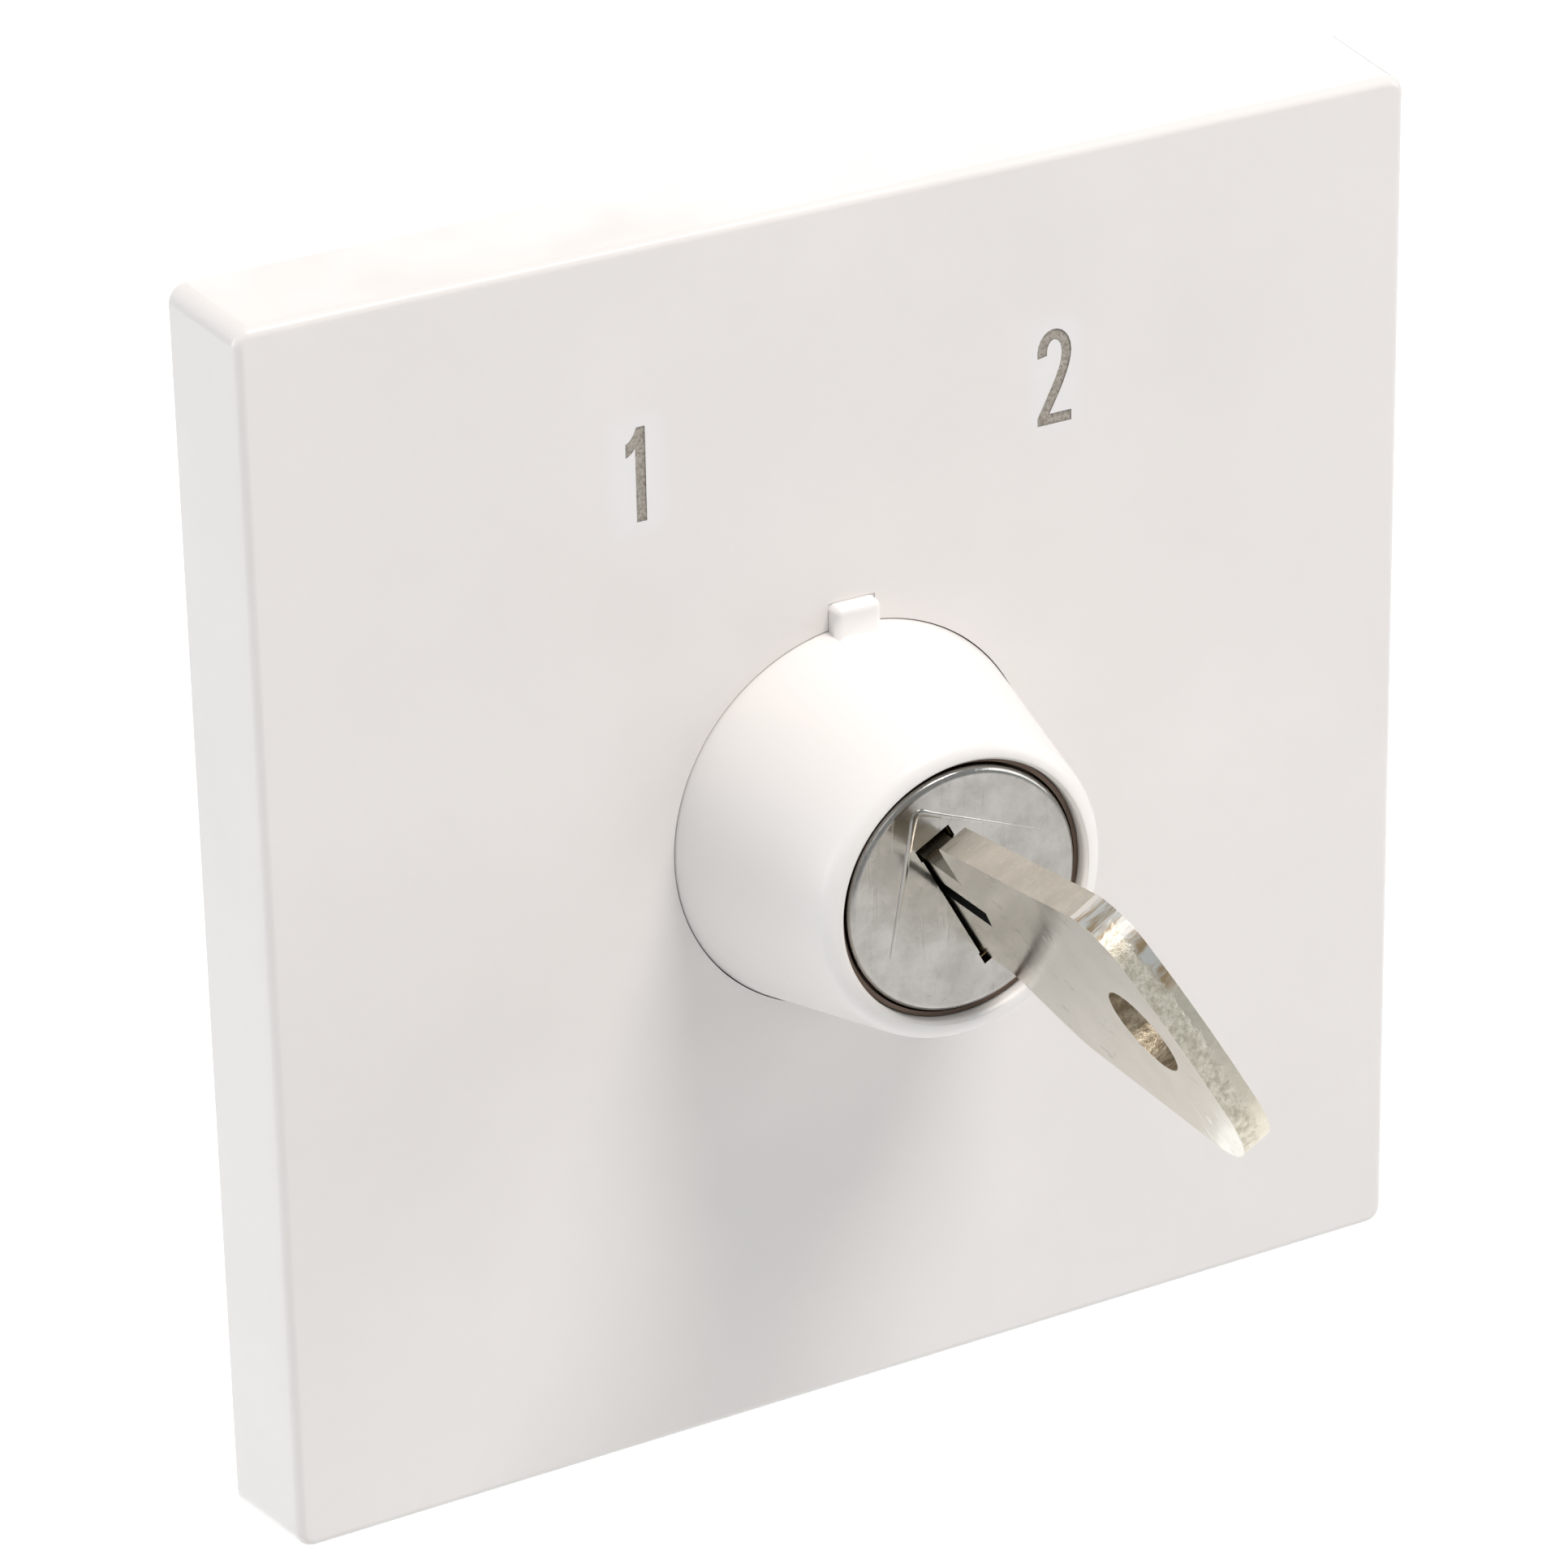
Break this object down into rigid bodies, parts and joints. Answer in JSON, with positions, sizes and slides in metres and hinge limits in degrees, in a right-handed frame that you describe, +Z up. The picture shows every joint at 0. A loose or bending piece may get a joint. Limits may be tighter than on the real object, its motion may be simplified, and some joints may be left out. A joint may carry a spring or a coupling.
{
  "type": "selector key switch",
  "caption": "Flush wall key switch: square plate with a raised conical lock, a key turning between two marked positions, and a contact block behind.",
  "frame": {"origin": "on the lock axis, in the plane of the wall behind the plate", "axes": "+X right and +Z up as seen from the room, -Y out of the wall towards the person, +Y into the wall box"},
  "size_m": [0.08, 0.0814, 0.08],
  "materials": {
    "white_plastic": "moulded, glossy near-white",
    "collar_plastic": "moulded, satin white",
    "zinc_casting": "die-cast zinc, bare",
    "polished_steel": "polished stainless sheet with fine scratches",
    "plug_brass": "turned brass",
    "wafer_brass": "stamped brass",
    "nickel_silver": "stamped nickel silver, warm, sheared edges",
    "plated_steel": "zinc-plated steel",
    "spring_steel": "spring steel",
    "black_plastic": "moulded, black",
    "grey_plastic": "moulded, grey",
    "cream_plastic": "moulded, cream",
    "silver_contact": "silver-faced contact bar",
    "terminal_brass": "stamped brass strip"
  },
  "bodies": {
    "housing": {"cover_plate": "white_plastic", "lock_collar": "collar_plastic", "lock_housing": "zinc_casting", "lock_screw_left": "plated_steel", "lock_screw_right": "plated_steel", "support_frame": "plated_steel", "bearing_plate": "black_plastic", "stage_housing_1": "grey_plastic", "stage_housing_2": "grey_plastic", "end_cover": "black_plastic", "through_bolt_left": "plated_steel", "through_bolt_right": "plated_steel", "contact_spring_1": "spring_steel", "contact_spring_2": "spring_steel", "fixed_contact_1_upper": "terminal_brass", "terminal_screw_1_upper": "plated_steel", "fixed_contact_1_lower": "terminal_brass", "terminal_screw_1_lower": "plated_steel", "fixed_contact_2_upper": "terminal_brass", "terminal_screw_2_upper": "plated_steel", "fixed_contact_2_lower": "terminal_brass", "terminal_screw_2_lower": "plated_steel"},
    "rotor": {"face_cap": "polished_steel", "lock_plug": "plug_brass", "plug_clip": "spring_steel", "driver": "zinc_casting", "friction_washer": "spring_steel", "switch_shaft": "plated_steel", "cam_1": "cream_plastic", "cam_2": "cream_plastic"},
    "key": {"key": "nickel_silver"},
    "wafer_1": {"wafer_1": "wafer_brass"},
    "wafer_2": {"wafer_2": "wafer_brass"},
    "wafer_3": {"wafer_3": "wafer_brass"},
    "wafer_4": {"wafer_4": "wafer_brass"},
    "wafer_5": {"wafer_5": "wafer_brass"},
    "plunger_1": {"plunger_1": "cream_plastic", "bridge_1": "silver_contact"},
    "plunger_2": {"plunger_2": "cream_plastic", "bridge_2": "silver_contact"},
    "claw_left": {"claw_left": "plated_steel"},
    "claw_screw_left": {"claw_screw_left": "plated_steel"},
    "claw_right": {"claw_right": "plated_steel"},
    "claw_screw_right": {"claw_screw_right": "plated_steel"}
  },
  "joints": [
    {"name": "key_turn", "type": "hinge", "parent": "housing", "child": "rotor", "pos_m": [0, 0, 0], "axis": [0, 1, 0], "range_deg": [0, 58]},
    {"name": "key_slide", "type": "slide", "parent": "rotor", "child": "key", "axis": [0, -1, 0], "range_m": [0, 0.0195]},
    {"name": "wafer_1_slide", "type": "slide", "parent": "rotor", "child": "wafer_1", "axis": [0.4848, 0, -0.8746], "range_m": [0, 0.0008], "stiffness_N_per_m": 40, "springref_m": -0.002},
    {"name": "wafer_2_slide", "type": "slide", "parent": "rotor", "child": "wafer_2", "axis": [0.4848, 0, -0.8746], "range_m": [0, 0.0008], "stiffness_N_per_m": 40, "springref_m": -0.002},
    {"name": "wafer_3_slide", "type": "slide", "parent": "rotor", "child": "wafer_3", "axis": [0.4848, 0, -0.8746], "range_m": [0, 0.0008], "stiffness_N_per_m": 40, "springref_m": -0.002},
    {"name": "wafer_4_slide", "type": "slide", "parent": "rotor", "child": "wafer_4", "axis": [0.4848, 0, -0.8746], "range_m": [0, 0.0008], "stiffness_N_per_m": 40, "springref_m": -0.002},
    {"name": "wafer_5_slide", "type": "slide", "parent": "rotor", "child": "wafer_5", "axis": [0.4848, 0, -0.8746], "range_m": [0, 0.0008], "stiffness_N_per_m": 40, "springref_m": -0.002},
    {"name": "plunger_1_slide", "type": "slide", "parent": "housing", "child": "plunger_1", "axis": [1, 0, 0], "range_m": [0, 0.00201], "deforming": ["contact_spring_1"]},
    {"name": "plunger_2_slide", "type": "slide", "parent": "housing", "child": "plunger_2", "axis": [1, 0, 0], "range_m": [-0.00201, 0], "deforming": ["contact_spring_2"]},
    {"name": "claw_screw_left_slide", "type": "slide", "parent": "housing", "child": "claw_screw_left", "axis": [0, 1, 0], "range_m": [0, 0.0022]},
    {"name": "claw_left_swing", "type": "hinge", "parent": "housing", "child": "claw_left", "pos_m": [-0.0246, 0.002, 0], "axis": [0, 0, 1], "range_deg": [0, 25]},
    {"name": "claw_screw_right_slide", "type": "slide", "parent": "housing", "child": "claw_screw_right", "axis": [0, 1, 0], "range_m": [0, 0.0022]},
    {"name": "claw_right_swing", "type": "hinge", "parent": "housing", "child": "claw_right", "pos_m": [0.0246, 0.002, 0], "axis": [0, 0, -1], "range_deg": [0, 25]}
  ],
  "couplings": [
    {"joint": "plunger_1_slide", "follows": "key_turn", "m_per_rad": 0.0019757},
    {"joint": "plunger_2_slide", "follows": "key_turn", "m_per_rad": -0.0019757},
    {"joint": "claw_left_swing", "follows": "claw_screw_left_slide", "rad_per_m": 198},
    {"joint": "claw_right_swing", "follows": "claw_screw_right_slide", "rad_per_m": 198}
  ]
}
